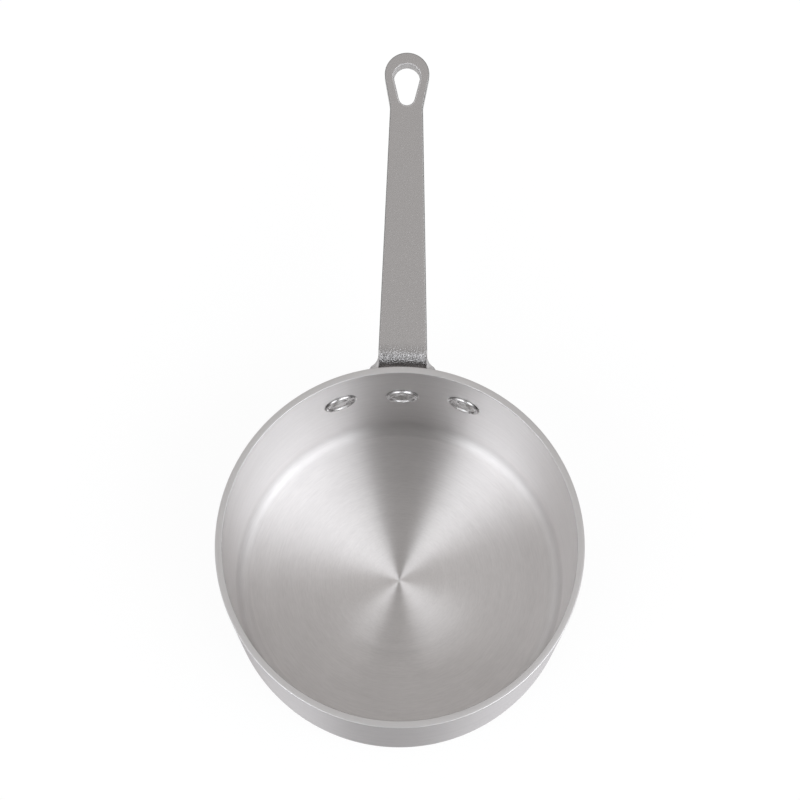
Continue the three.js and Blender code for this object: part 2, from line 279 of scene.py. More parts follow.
def ranged(tree, value, low, high):
    """A number that runs from low to high while value runs from 0.3 to 0.7, the middle of a noise."""
    inputs = {"Value": value, "From Min": 0.3, "From Max": 0.7, "To Min": low, "To Max": high}
    return new_node(tree, "ShaderNodeMapRange", inputs).outputs[0]


def bumped(tree, height, depth):
    """A normal with a bump of depth metres."""
    inputs = {"Strength": 1.0, "Distance": depth, "Height": height}
    return new_node(tree, "ShaderNodeBump", inputs).outputs["Normal"]

# %% [markdown]
# ## Satin aluminium
# The pan is polished on a lathe, so its light spreads across the rings and gathers into fans that meet in
# the middle of the floor. That is what an anisotropic shader does when its tangent runs round the axis. The
# inside has the longest lines, the outside is rougher and painted darker as painted shade, and the rim is a
# plain
# turned face. The corner between floor and wall, and the wall above it, are painted darker than the floor:
# painted shade. Its zones start at a travel in millimetres, and each keeps a share of the brightness.

# %% Satin aluminium
PROFILE_REACH = 0.25
RING_DEPTH = 0.000004
ROUGH_RANGE = 0.03
# Painted shade: the corner and the wall above it keep less of the brightness than the floor.
CORNER_WALL_SHADE = ((0.0, 1.0), (93.2, 0.97), (94.0, 0.88), (98.0, 0.87), (102.0, 0.8), (104.0, 0.79))


def lathe_finish(name, dark, light, roughness, streak, zones=((0.0, 1.0),)):
    """Aluminium with lathe rings, from two tones, its roughness, its streaks across the rings and zones of
    painted shade.
    """
    material, tree, metal = new_finish(name, light, roughness)
    lines = new_node(tree, "ShaderNodeGroup", node_tree=rings).outputs
    tone = weighed(tree, (lines["Tone"], 0.5), (lines["Dashes"], 0.5), (clouds(tree, 30.0), 0.3))
    along = math_node(tree, "DIVIDE", lines["Travel"], PROFILE_REACH)
    stops = [(start * MM / PROFILE_REACH, (share, share, share)) for start, share in zones]
    tones = zoned(tree, tone, ((0.4, dark), (0.9, light)))
    feed(metal, {
        "Base Color": multiplied(tree, tones, zoned(tree, along, stops)),
        "Roughness": ranged(tree, tone, roughness + ROUGH_RANGE, roughness - ROUGH_RANGE),
        "Normal": bumped(tree, lines["Height"], RING_DEPTH),
        "Tangent": new_node(tree, "ShaderNodeTangent", direction_type="RADIAL", axis="Z").outputs[0],
        "Anisotropic": streak,
        "Anisotropic Rotation": 0.25,
    })
    return material


# The inside's zones paint shade on the corner and on the wall.
inside = lathe_finish("satin_inside", (0.78, 0.758, 0.752), (0.88, 0.858, 0.852), 0.44, 1.0, CORNER_WALL_SHADE)
# The outside is painted darker than the inside: painted shade, on the same aluminium.
outside = lathe_finish("satin_outside_painted_shade", (0.4, 0.386, 0.386), (0.48, 0.463, 0.464), 0.55, 0.95)
turned_rim = lathe_finish("turned_rim", (0.56, 0.55, 0.55), (0.63, 0.618, 0.617), 0.4, 0.3)

# %% [markdown]
# ## Speckled steel
# The handle is tumbled and plated. From afar it is an even grey, because its surface is covered in shallow
# pits. Where the plate bends down to the wall, the sheet was stretched: the pits are deeper there, and the
# bend breaks into dark and bright sparkles. A fine noise bump under a fairly smooth metal gives both. The
# zones of the bend are given by the distance from the pan's axis, each with its brightness and its share of
# the pits' depth. Those brightnesses are painted light and shade: the foot of the bend, by the wall, is
# painted lighter and its curve darker than the plate.

# %% Speckled steel
PITS_PER_METRE = 1300.0
PIT_DEPTH = 0.00036
STEEL_GREY = (0.494, 0.48, 0.478)
STEEL_TINT = (1.0, 0.973, 0.969)
MOTTLE = ((0.35, (0.94, 0.94, 0.94)), (0.65, (1.0, 1.0, 1.0)))
PLATE_ZONE = (118.0, 0.494, 0.36)
# Each zone: start, brightness and share of the pits' depth. The brightness is painted light and shade:
# lighter at the foot, darker over the curve.
BEND_LIGHT_SHADE_AND_PITS = [
    (104.0, 0.85, 0.2),
    (105.9, 0.85, 0.3),
    (106.7, 0.45, 1.0),
    (109.6, 0.3, 1.0),
    (111.0, 0.33, 1.0),
    (114.0, 0.4, 0.8),
    PLATE_ZONE,
]


def steel_finish(name, zones):
    """Pitted steel, in zones that start at a distance from the pan's axis, in millimetres. On the bend, a
    zone's brightness is painted light and shade.
    """
    material, tree, metal = new_finish(name, STEEL_GREY, 0.27)
    steel_place = object_place(tree)
    pits = noise_node(tree, steel_place, PITS_PER_METRE, 1.5)
    tone = weighed(tree, (pits, 0.6), (clouds(tree, 60.0), 0.4))
    first, last = zones[0][0], zones[-1][0]
    inputs = {"Value": split(tree, steel_place)["Y"], "From Min": first * MM, "From Max": last * MM}
    along = new_node(tree, "ShaderNodeMapRange", inputs).outputs[0]
    levels, depths = [], []
    # A zone's level is the steel's own grey on the plate, and painted light and shade on the bend.
    for start, level, pit_share in zones:
        stop_place = (start - first) / (last - first)
        levels.append((stop_place, [level * tint for tint in STEEL_TINT]))
        depths.append((stop_place, (pit_share, pit_share, pit_share)))
    pit_height = math_node(tree, "MULTIPLY", pits, zoned(tree, along, depths))
    feed(metal, {
        "Base Color": multiplied(tree, zoned(tree, tone, MOTTLE), zoned(tree, along, levels)),
        "Roughness": ranged(tree, tone, 0.3, 0.24),
        "Normal": bumped(tree, pit_height, PIT_DEPTH),
    })
    return material


steel = steel_finish("speckled_steel", [(104.0, *PLATE_ZONE[1:]), PLATE_ZONE])
# The bend's steel carries painted light and shade in its colour.
bend_steel_painted_light = steel_finish("bend_steel_painted_light", BEND_LIGHT_SHADE_AND_PITS)

# %% [markdown]
# ## Plain metals
# Along its outer edges the sheet is painted darker, as painted shade, and round the keyhole and at the flare
# it is painted a soft, lighter grey, as painted light. Both have lost their pits. A mask by curvature would
# find every edge alike, so these are two plain finishes that are given to chosen faces later. The rivets
# are plain aluminium, pressed smooth by the tool that closed them, so they are shinier than the pan. The
# handling marks keep them from looking like mirrors.

# %% Edges and rivets
def cloudy_finish(name, dark, light, rough, smooth, per_metre):
    """A metal in two tones and between two roughnesses, which follow the handling marks."""
    material, tree, metal = new_finish(name, light, smooth)
    cloud = clouds(tree, per_metre)
    color = zoned(tree, cloud, ((0.3, dark), (0.7, light)))
    feed(metal, {"Base Color": color, "Roughness": ranged(tree, cloud, rough, smooth)})
    return material


# This finish paints shade: a darker grey on the handle's outer edges.
edge_painted_shade = cloudy_finish("edge_painted_shade", (0.24, 0.235, 0.23), (0.33, 0.325, 0.32), 0.55, 0.45, 400.0)
# This finish paints light: a lighter grey on the keyhole's lip and collar and on the flare's tops.
edge_painted_light = cloudy_finish("edge_painted_light", (0.5, 0.488, 0.485), (0.58, 0.566, 0.562), 0.75, 0.65, 400.0)
bright = cloudy_finish("bright_aluminium", (0.62, 0.614, 0.61), (0.7, 0.694, 0.69), 0.3, 0.24, 180.0)

# %% [markdown]
# ## Pan
# A spun pan is a solid of revolution, so its profile is drawn once and turned round the Z axis. The profile
# runs from the middle of the underside round the outer corner, up the wall, over the rim and back down to
# the middle of the floor. A modifier could turn it too, but code keeps control over where the rings lie.

# %% Profile tools
BASE_RADIUS = 101.0
RIM_RADIUS = 104.0
WALL = 4.0
DRAFT = atan2(RIM_RADIUS - BASE_RADIUS, RIM_HEIGHT)


def wall_radius(z, offset=0.0):
    """Radius, at a height, of a surface that lies offset outside the pan's wall."""
    return BASE_RADIUS + z * tan(DRAFT) + offset / cos(DRAFT)


def on_wall(x, z, offset):
    """A point on the handle's side of the pan, on a surface that lies offset outside the wall."""
    return Vector((x, sqrt(wall_radius(z, offset) ** 2 - x**2), z))


def arc(x, y, radius, start, end, steps):
    """Points along an arc about (x, y), from one angle to another in radians."""
    angles = [start + (end - start) * i / steps for i in range(steps + 1)]
    return [(x + radius * cos(angle), y + radius * sin(angle)) for angle in angles]


def straight(start, end, steps):
    """Points along a straight line, without its ends."""
    shares = [i / steps for i in range(1, steps)]
    return [(start[0] + (end[0] - start[0]) * t, start[1] + (end[1] - start[1]) * t) for t in shares]


def turned(profile, segments):
    """Points and faces of a profile of (radius, height) turned round Z. A point on the axis stays single."""
    points, faces, rows = [], [], []
    for radius, height in profile:
        count = segments if radius > 1e-6 else 1
        rows.append([len(points) + i for i in range(count)])
        for i in range(count):
            angle = 2 * pi * i / segments
            points.append((radius * cos(angle), radius * sin(angle), height))
    for low, high in zip(rows, rows[1:]):
        for i in range(segments):
            j = (i + 1) % segments
            corners = (low[i % len(low)], low[j % len(low)], high[j % len(high)], high[i % len(high)])
            faces.append(tuple(dict.fromkeys(corners)))
    return points, faces

# %% Pan profile
FLOOR = 4.0
INNER_CORNER = 9.0
OUTER_CORNER = INNER_CORNER + WALL
RIM_ROUND = 0.5
QUARTER = pi / 2
PAN_SEGMENTS = 256

rim_z = RIM_HEIGHT - RIM_ROUND
inner_z = FLOOR + INNER_CORNER
outer_x = wall_radius(OUTER_CORNER, -OUTER_CORNER)
inner_x = wall_radius(inner_z, -WALL - INNER_CORNER)
corner_out = arc(outer_x, OUTER_CORNER, OUTER_CORNER, -QUARTER, -DRAFT, 12)
rim_out = arc(wall_radius(rim_z, -RIM_ROUND), rim_z, RIM_ROUND, -DRAFT, QUARTER, 5)
rim_in = arc(wall_radius(rim_z, RIM_ROUND - WALL), rim_z, RIM_ROUND, QUARTER, pi - DRAFT, 5)
corner_in = arc(inner_x, inner_z, INNER_CORNER, -DRAFT, -QUARTER, 14)
pan_profile = [
    (0.0, 0.0),
    *straight((0.0, 0.0), corner_out[0], 5),
    *corner_out,
    *straight(corner_out[-1], rim_out[0], 16),
    *rim_out,
    *rim_in,
    *straight(rim_in[-1], corner_in[0], 16),
    *corner_in,
    *straight(corner_in[-1], (0.0, FLOOR), 8),
    (0.0, FLOOR),
]
pan_points, pan_faces = turned(pan_profile, PAN_SEGMENTS)
pan_blank = mesh_from("pan_blank", pan_points, pan_faces)
print("pan blank:", len(pan_points), "points")

# %% [markdown]
# ## Rivets
# Each rivet has a low head inside the pan, a shank through the wall and the handle, and a domed tail
# outside. The tool that held the head left a raised rim, a shallow cup inside it and a low button in the
# middle. A rivet is turned like the pan, but about its own axis, square to the wall. The two faces that
# press on the curved wall and the curved handle bend with them, so that no gap shows at the edges.

# %% Rivet places
FIT_GAP = 0.3
SHEET = 1.6
STACK = FIT_GAP + SHEET
SIDE_ARC = 38.5
SIDE_RIVET_Z = 67.0
CENTRE_RIVET_Z = 61.0


def rivet_axes(arc_length, z):
    """Where a rivet's axis leaves the wall: x round the wall, y up it and z out of it, in millimetres."""
    angle = arc_length / wall_radius(z)
    radial = Vector((sin(angle), cos(angle), 0))
    tangent = Vector((radial.y, -radial.x, 0))
    outward = radial * cos(DRAFT) - Vector((0, 0, sin(DRAFT)))
    upward = outward.cross(tangent)
    wall_point = radial * wall_radius(z) + Vector((0, 0, z))
    return Matrix.Translation(wall_point) @ Matrix((tangent, upward, outward)).transposed().to_4x4()


rivet_places = {
    "left": rivet_axes(-SIDE_ARC, SIDE_RIVET_Z),
    "centre": rivet_axes(0.0, CENTRE_RIVET_Z),
    "right": rivet_axes(SIDE_ARC, SIDE_RIVET_Z),
}
print("rivets:", sorted(rivet_places))

# %% Rivet profile
SHANK = 3.5
HEAD, HEAD_HEIGHT, HEAD_EDGE = 9.9, 1.6, 0.4
CREST, CUP, CUP_DEPTH = 8.9, 7.25, 1.35
BUTTON, BUTTON_FOOT, BUTTON_HEIGHT = 3.6, 5.0, 0.9
TAIL, TAIL_HEIGHT, TAIL_EDGE, TAIL_FLAT = 7.0, 3.0, 0.8, 3.0
RIVET_SEGMENTS = 64
CUP_STEPS = 45
CREASE = 35
HEAD_SEAT = -WALL - FIT_GAP
TAIL_SEAT = STACK + FIT_GAP


def eased(t):
    """Runs smoothly from 0 to 1 while t does, and stays there outside."""
    t = min(1.0, max(0.0, t))
    return t * t * (3 - 2 * t)


def dome(middle, edge, foot, height, steps):
    """A quarter of an ellipse from the middle's edge down to the top of the upright edge."""
    turns = [QUARTER * (1 - i / steps) for i in range(steps + 1)]
    across, rise = edge - middle, height - foot
    return [(middle + across * cos(turn), foot + rise * sin(turn)) for turn in turns]


def cup(radius):
    """Height of the head inside its raised rim: a shallow cup with a low round button in the middle."""
    wall_share = eased((radius - CUP) / (CREST - CUP))
    button_share = 1 - eased((radius - BUTTON) / (BUTTON_FOOT - BUTTON))
    return HEAD_HEIGHT - CUP_DEPTH * (1 - wall_share) + BUTTON_HEIGHT * button_share


cup_radii = [CREST * i / CUP_STEPS for i in range(CUP_STEPS)]
head = [(radius, cup(radius)) for radius in cup_radii]
head += dome(CREST, HEAD, HEAD_EDGE, HEAD_HEIGHT, 8)
tail = [(0.0, TAIL_HEIGHT), (TAIL_FLAT / 2, TAIL_HEIGHT)]
tail += dome(TAIL_FLAT, TAIL, TAIL_EDGE, TAIL_HEIGHT, 10)
rivet_profile = [
    *[(radius, HEAD_SEAT - height) for radius, height in head],
    (HEAD, HEAD_SEAT),
    ((HEAD + SHANK) / 2, HEAD_SEAT),
    (SHANK, HEAD_SEAT),
    (SHANK, TAIL_SEAT),
    ((TAIL + SHANK) / 2, TAIL_SEAT),
    (TAIL, TAIL_SEAT),
    *[(radius, TAIL_SEAT + height) for radius, height in reversed(tail)],
]
print("rivet profile:", len(rivet_profile), "points")

# %% Rivets
def bent_to_wall(point):
    """A point of a rivet's seat, moved onto the curved face that it presses on. Other points stay."""
    x, y, depth = point
    if depth not in (HEAD_SEAT, TAIL_SEAT):
        return point
    curve = wall_radius(SIDE_RIVET_Z, depth)
    return (x, y, depth - (curve - sqrt(curve**2 - x**2)))


rivet_points, rivet_faces = turned(rivet_profile, RIVET_SEGMENTS)
rivet_points = [Vector(bent_to_wall(point)) for point in rivet_points]
for which, place_on_wall in rivet_places.items():
    rivet_mesh = mesh_from("rivet", [place_on_wall @ point for point in rivet_points], rivet_faces)
    show(f"{which}_rivet", rivet_mesh, CREASE, [bright], f"rivet_{which}")

# %% [markdown]
# ## Holes for the rivets
# The pan and the handle are both drilled where the rivets pass. A cutter is made of three rods, and the
# Boolean modifier takes it out of each blank.

# %% Drill
DRILL = SHANK + FIT_GAP
ROD_START, ROD_END = HEAD_SEAT - WALL, TAIL_SEAT + WALL
drill_points, drill_faces = [], []
rod = [(0.0, ROD_START), (DRILL, ROD_START), (DRILL, ROD_END), (0.0, ROD_END)]
rod_points, rod_faces = turned(rod, RIVET_SEGMENTS // 2)
for place_on_wall in rivet_places.values():
    drill_faces += [tuple(len(drill_points) + number for number in face) for face in rod_faces]
    drill_points += [place_on_wall @ Vector(point) for point in rod_points]
drill = bpy.data.objects.new("drill", mesh_from("drill", drill_points, drill_faces))
scene.collection.objects.link(drill)
print("drill:", len(drill_faces), "faces")


def drilled(mesh):
    """A new mesh: the old one with the rivets' holes."""
    return worked(mesh, "BOOLEAN", operation="DIFFERENCE", object=drill, solver="EXACT")

# %% [markdown]
# The pan has three finishes on one mesh, so each face is given the number of its finish. Two signs tell the
# faces apart: how high they lie, and whether they look away from the axis or down.

# %% Drill and finish the pan
OUTSIDE, RIM = 1, 2
LOOKS_AWAY = 0.1
pan_mesh = drilled(pan_blank)
show("spun_pan", pan_mesh, CREASE, [inside, outside, turned_rim], "pan_body")
for face in pan_mesh.polygons:
    from_middle = Vector((face.center.x, face.center.y, 0)).normalized()
    if face.center.z > rim_z * MM:
        face.material_index = RIM
    elif face.normal.dot(from_middle) > LOOKS_AWAY or face.normal.z < -LOOKS_AWAY:
        face.material_index = OUTSIDE
print("pan outside:", sum(face.material_index == OUTSIDE for face in pan_mesh.polygons), "faces")

# %% [markdown]
# ## Handle
# The handle is pressed from one sheet: a top plate with its sides turned down, a keyhole with its lip
# turned down, and at the wall a tab in the middle and a wing on each side. Pressed sheet has the same
# thickness everywhere, so only its outer skin is drawn, and the Solidify modifier adds the thickness. The
# skin is drawn for one side and mirrored. A point on it is given across the top plate, along it from the
# wall, and below it.

# %% Top plate
SLOPE = radians(6.0)
ROOT_Z = 101.0
SEAT = wall_radius(ROOT_Z, FIT_GAP)
ROOT_HALF, NECK_HALF = 14.0, 9.6
EYE_RADIUS = 13.05
TIP = 187.5
EYE = TIP - EYE_RADIUS
NECK = EYE - 20.1
NECK_FILLET = 3.0
CHANNEL_DEPTH = 9.0
EDGE_ROUND = 0.8
ELBOW = 11.0
BEND = ELBOW / tan((QUARTER + DRAFT + SLOPE) / 2)
TAPER = (ROOT_HALF - NECK_HALF) / (NECK - BEND)
ROUND_STEPS = [radians(turn) for turn in (0, 17.5, 35, 48.75, 62.5, 76.25, 90)]
SLIT_STEP = 2
SIDE_STEPS = 6
print("top plate:", TIP, "mm long, bend starts at", round(BEND, 1))


def on_plate(x, s, depth=0.0):
    """A point from its place across the plate, along it and below it."""
    y = SEAT + s * cos(SLOPE) + depth * sin(SLOPE)
    z = ROOT_Z + s * sin(SLOPE) - depth * cos(SLOPE)
    return Vector((x, y, z))


def half_width(s):
    """Half the plate's width at a place along it."""
    return ROOT_HALF - TAPER * max(0.0, s - BEND)


def between(start, end, steps):
    """Points from start, which is left out, to end."""
    return [start.lerp(end, i / steps) for i in range(1, steps + 1)]

# %% [markdown]
# The sides are a strip of columns that runs round the outline. Each column starts on the flat of the top
# plate, turns over the rounded edge and goes down to the cut lower edge. Near the wall that lower edge
# sweeps down into a gusset, drawn with two curves as a side view.

# %% Lower edge
WING_RADIUS = 13.0
WING_FOOT = SIDE_RIVET_Z - WING_RADIUS
GUSSET_REACH = 70.0
FOOT_REACH, KNEE_REACH, FOOT_CURVE = 9.0, 22.0, 4.0
FOOT_STEPS, KNEE_STEPS = 30, 90


def top_z(y):
    """Height of the plate's upper face at a distance from the pan's axis."""
    return ROOT_Z + (y - SEAT) * tan(SLOPE)


def quadratic(start, control, end, t):
    """A point on a curve that leaves start towards control and arrives at end from it."""
    return start * (1 - t) ** 2 + control * (2 * t * (1 - t)) + end * t**2


channel_drop = CHANNEL_DEPTH / cos(SLOPE)
foot = Vector((SEAT + FOOT_REACH, WING_FOOT))
knee = Vector((SEAT + KNEE_REACH, top_z(SEAT + KNEE_REACH) - channel_drop))
beam_start = Vector((SEAT + GUSSET_REACH, top_z(SEAT + GUSSET_REACH) - channel_drop))
foot_rise = foot + (knee - foot).normalized() * FOOT_CURVE
foot_level = foot - Vector((FOOT_CURVE, 0.0))
lower_edge = [quadratic(foot_level, foot, foot_rise, i / FOOT_STEPS) for i in range(FOOT_STEPS)]
lower_edge += [quadratic(foot_rise, knee, beam_start, i / KNEE_STEPS) for i in range(KNEE_STEPS + 1)]
print("lower edge:", len(lower_edge), "points")


def low_z(y):
    """Height of the lower edge at a distance from the pan's axis."""
    if y <= foot_level.x:
        return WING_FOOT
    for before, after in zip(lower_edge, lower_edge[1:]):
        if y <= after.x:
            return before.y + (after.y - before.y) * (y - before.x) / (after.x - before.x)
    return top_z(y) - channel_drop

# %% Columns of the channel
SETTLE_ROUNDS = 6
inner_corners = []


def rounded_edge(x, s, out_x, out_s, radius):
    """Points over the rounded edge at (x, s), which faces (out_x, out_s) on the plate."""
    points = []
    inner = on_plate(x - out_x * SHEET, s - out_s * SHEET, SHEET)
    for turn in ROUND_STEPS:
        inset, drop = radius * (1 - sin(turn)), radius * (1 - cos(turn))
        points.append(on_plate(x - out_x * inset, s - out_s * inset, drop))
        inner_corners.append((points[-1], inner))
    return points


def channel_column(x, s, out_x, out_s):
    """A column of the side, from the flat of the plate to the lower edge."""
    points = rounded_edge(x, s, out_x, out_s, EDGE_ROUND)
    upper = points[-1]
    along = (s - BEND) / (GUSSET_REACH / cos(SLOPE) - BEND)
    if along >= 1:
        return points + between(upper, on_plate(x, s, CHANNEL_DEPTH), SIDE_STEPS)
    lean = tan(DRAFT) * (1 - along) - tan(SLOPE) * along
    lower = Vector((x, upper.y, low_z(upper.y)))
    for _ in range(SETTLE_ROUNDS):
        lower.y = upper.y + lean * (lower.z - upper.z)
        lower.z = low_z(lower.y)
    return points + between(upper, lower, SIDE_STEPS)


edge_out = Vector((1.0, TAPER)).normalized()
EVEN_END, EVEN_STEPS = 23.1, 15
channel_places = [BEND + (EVEN_END - BEND) * i / EVEN_STEPS for i in range(EVEN_STEPS + 1)]
channel_places += [25.5, 28.5, 32.5, 37.5, 44.0, 52.0, 61.0, 70.4]
channel_places += [84.0, 98.0, 112.0, 126.0, 138.0, NECK - 5.5]
channel = [channel_column(half_width(s), s, edge_out.x, edge_out.y) for s in channel_places]
print("channel:", len(channel), "columns")

# %% [markdown]
# The neck and the round eye continue the same columns: a small hollow fillet, a straight flank and a round
# end.

# %% Columns of the eye
FILLET_STEPS, FLANK_STEPS, EYE_STEPS = 8, 6, 28
neck_centre = Vector((half_width(NECK), NECK)) + edge_out * NECK_FILLET
to_eye = Vector((0.0, EYE)) - neck_centre
flank = atan2(to_eye.y, to_eye.x) + acos((NECK_FILLET + EYE_RADIUS) / to_eye.length)
edge_angle = atan2(-edge_out.y, -edge_out.x) % (2 * pi)
eye_start = flank - pi
neck_start = NECK - 2.5
eye_columns = [channel_column(half_width(neck_start), neck_start, edge_out.x, edge_out.y)]
for i in range(FILLET_STEPS + 1):
    angle = edge_angle + (flank - edge_angle) * i / FILLET_STEPS
    out_x, out_s = -cos(angle), -sin(angle)
    x, s = neck_centre.x - NECK_FILLET * out_x, neck_centre.y - NECK_FILLET * out_s
    eye_columns.append(channel_column(x, s, out_x, out_s))
flank_foot = Vector((x, s))
flank_top = Vector((EYE_RADIUS * cos(eye_start), EYE + EYE_RADIUS * sin(eye_start)))
for i in range(1, FLANK_STEPS):
    x, s = flank_foot.lerp(flank_top, i / FLANK_STEPS)
    eye_columns.append(channel_column(x, s, out_x, out_s))
for i in range(EYE_STEPS + 1):
    angle = eye_start + (QUARTER - eye_start) * i / EYE_STEPS
    out_x, out_s = cos(angle), sin(angle)
    eye_columns.append(channel_column(EYE_RADIUS * out_x, EYE + EYE_RADIUS * out_s, out_x, out_s))
print("eye:", len(eye_columns), "columns, flank from", [round(v, 1) for v in flank_foot])

# %% [markdown]
# ### Flare
# At the wall the side turns outward in a small arc and becomes a wing, which hugs the wall round to its
# rivet. From here on a slit parts the side from the tab, so these columns start at the slit, part of the
# way over the rounded edge. Over the arc that shoulder widens into a small web, and at the wall it dips to
# the wing's upper edge.

# %% Shapes of the flare
FLARE = 7.5
SLIT = 0.1
WING_TOP = 96.5
WING_START = 20.9
SHOULDER = 0.07
WEB_SHARE, DIP_SHARE = 0.62, 0.76
FLARE_STEPS = 16
flare_x = ROOT_HALF + FLARE
flare_y = sqrt((SEAT + SHEET + FLARE) ** 2 - flare_x**2)
flare_end = pi + atan2(flare_y, flare_x)
slit_turn = ROUND_STEPS[SLIT_STEP]
slit_x = ROOT_HALF - EDGE_ROUND * (1 - sin(slit_turn))
slit_drop = EDGE_ROUND * (1 - cos(slit_turn))
slit_sine = sin(slit_turn)
shoulder_turns = ROUND_STEPS[SLIT_STEP:]
shoulder_across = [(sin(turn) - slit_sine) / (1 - slit_sine) for turn in shoulder_turns]
shoulder_down = [1 - cos(turn) / cos(slit_turn) for turn in shoulder_turns]
print("flare:", FLARE, "mm, shoulder of", len(shoulder_turns), "points")


def shoulder(top, side):
    """Points from the slit over the rounded shoulder to the upright side."""
    points = []
    for across, down in zip(shoulder_across, shoulder_down):
        points.append(Vector((
            top.x + (side.x - top.x) * across,
            top.y + (side.y - top.y) * across,
            top.z + (side.z - top.z) * down,
        )))
    return points

# %% Columns of the flare
flare_s = (flare_y - SEAT) / cos(SLOPE)
foot_columns = []
for i in range(1, 3):
    s = BEND + (flare_s - BEND) * i / 3
    column = channel_column(ROOT_HALF, s, 1.0, 0.0)
    top = column[SLIT_STEP] + Vector((SLIT * i / 3, 0, 0))
    foot_columns.append(shoulder(top, column[len(ROUND_STEPS) - 1]) + column[len(ROUND_STEPS):])
web_end = sqrt(SEAT**2 - (slit_x + SLIT) ** 2)
for i in range(FLARE_STEPS + 1):
    t = i / FLARE_STEPS
    angle = pi + (flare_end - pi) * t
    dip = eased((t - DIP_SHARE) / (1 - DIP_SHARE))
    side = Vector((flare_x + FLARE * cos(angle), flare_y + FLARE * sin(angle), 0))
    side.z = top_z(side.y) - EDGE_ROUND
    side.z += (WING_TOP - SHOULDER * (WING_TOP - WING_FOOT) - side.z) * dip
    side.y += (side.z - ROOT_Z) * tan(DRAFT)
    if t < WEB_SHARE:
        y = flare_y + (web_end - flare_y) * t / WEB_SHARE
        top = Vector((slit_x + SLIT, y, top_z(y) - slit_drop))
    else:
        x = slit_x + SLIT + (WING_START - slit_x - SLIT) * (t - WEB_SHARE) / (1 - WEB_SHARE)
        z = top_z(web_end) - slit_drop
        z += (WING_TOP - z) * dip
        top = on_wall(x, z, FIT_GAP + SHEET * dip)
    lower = Vector((side.x, side.y + (WING_FOOT - side.z) * tan(DRAFT), WING_FOOT))
    foot_columns.append(shoulder(top, side) + between(side, lower, SIDE_STEPS))
print("flare:", len(foot_columns), "columns")

# %% [markdown]
# A wing is a strip that lies on the wall, with a sweep from the handle to the round end about its rivet.
# Its columns keep as many points as those of the flare, so that the two patches join.

# %% Columns of the wing
WING_STEPS = 14
ROUND_END_STEPS = 16
SWEEP_START = 0.8
side_rivet_x = rivet_places["right"].translation.x
wing_outline = []
wing_start = Vector((WING_START, WING_TOP))
wing_bend = Vector((WING_START + SWEEP_START, SIDE_RIVET_Z + WING_RADIUS))
wing_end = Vector((side_rivet_x, SIDE_RIVET_Z + WING_RADIUS))
for i in range(1, WING_STEPS + 1):
    x, z = quadratic(wing_start, wing_bend, wing_end, i / WING_STEPS)
    wing_outline.append((x, z, WING_FOOT))
for i in range(1, ROUND_END_STEPS + 1):
    angle = QUARTER * (1 - i / ROUND_END_STEPS)
    x = side_rivet_x + WING_RADIUS * cos(angle)
    half_height = WING_RADIUS * sin(angle)
    wing_outline.append((x, SIDE_RIVET_Z + half_height, SIDE_RIVET_Z - half_height))
side_shares = [SHOULDER + (1 - SHOULDER) * i / SIDE_STEPS for i in range(1, SIDE_STEPS + 1)]
flare_overhang = foot_columns[-1][-1].x - WING_START
wing_columns = []
for i, (x, high, low) in enumerate(wing_outline):
    overhang = flare_overhang * max(0.0, 1 - (i + 1) / WING_STEPS) ** 2
    column = []
    for across, down in zip(shoulder_across, shoulder_down):
        column.append(on_wall(x + overhang * across, high + (low - high) * SHOULDER * down, STACK))
    for share in side_shares:
        column.append(on_wall(x + overhang, high + (low - high) * share, STACK))
    wing_columns.append(column)
print("wing:", len(wing_columns), "columns")

# %% [markdown]
# ### Tab
# The tab is the end of the top plate. It bends down round the elbow, which is straight across at first and
# takes on the wall's curve on the way, and ends in a half round below the centre rivet.

# %% Rows of the plate and the tab
PLATE_SHARES = [0, 0.15, 0.3, 0.45, 0.6, 0.74, 0.86, 1]
elbow_y = SEAT + BEND * cos(SLOPE) + ELBOW * sin(SLOPE)
elbow_z = ROOT_Z + BEND * sin(SLOPE) - ELBOW * cos(SLOPE)
ELBOW_STEPS = 16
SETTLE_SPEED = 1.2
NARROWING_SPEED = 4
TAB_STEPS = 14

plate_rows = []
for column in channel:
    edge = column[0]
    plate_rows.append([Vector((edge.x * share, edge.y, edge.z)) for share in PLATE_SHARES])
first_row = plate_rows[0] + channel[0][1:SLIT_STEP + 1]
drops = [0.0] * len(PLATE_SHARES)
drops += [EDGE_ROUND * (1 - cos(turn)) for turn in ROUND_STEPS[1:SLIT_STEP + 1]]
tab_half = first_row[-1].x - SLIT
tab_rows = [first_row]
for i in range(1, ELBOW_STEPS + 1):
    t = i / ELBOW_STEPS
    angle = QUARTER + SLOPE + (QUARTER - DRAFT - SLOPE) * t
    settle = eased(t * SETTLE_SPEED)
    row = []
    for point, drop in zip(first_row, drops):
        x = point.x * (1 - (1 - tab_half / first_row[-1].x) * min(1.0, NARROWING_SPEED * t))
        radius = ELBOW - drop * (1 - settle)
        plane_y = elbow_y + radius * cos(angle)
        y = plane_y + (sqrt(plane_y**2 - x**2) - plane_y) * settle
        row.append(Vector((x, y, elbow_z + radius * sin(angle))))
    tab_rows.append(row)
bend_end = tab_rows[-1]
for i in range(1, TAB_STEPS + 1):
    row = []
    for point in bend_end:
        end_z = CENTRE_RIVET_Z - sqrt(max(0.0, tab_half**2 - point.x**2))
        z = point.z + (end_z - point.z) * i / TAB_STEPS
        row.append(on_wall(point.x, z, FIT_GAP))
    tab_rows.append(row)
print("plate:", len(plate_rows), "rows; tab:", len(tab_rows), "rows")

# %% [markdown]
# ### Keyhole
# The keyhole is two round ends joined by straight sides. Its lip turns down into a collar. The flat of the
# plate round it is woven between the eye's outline and the hole, point for point.

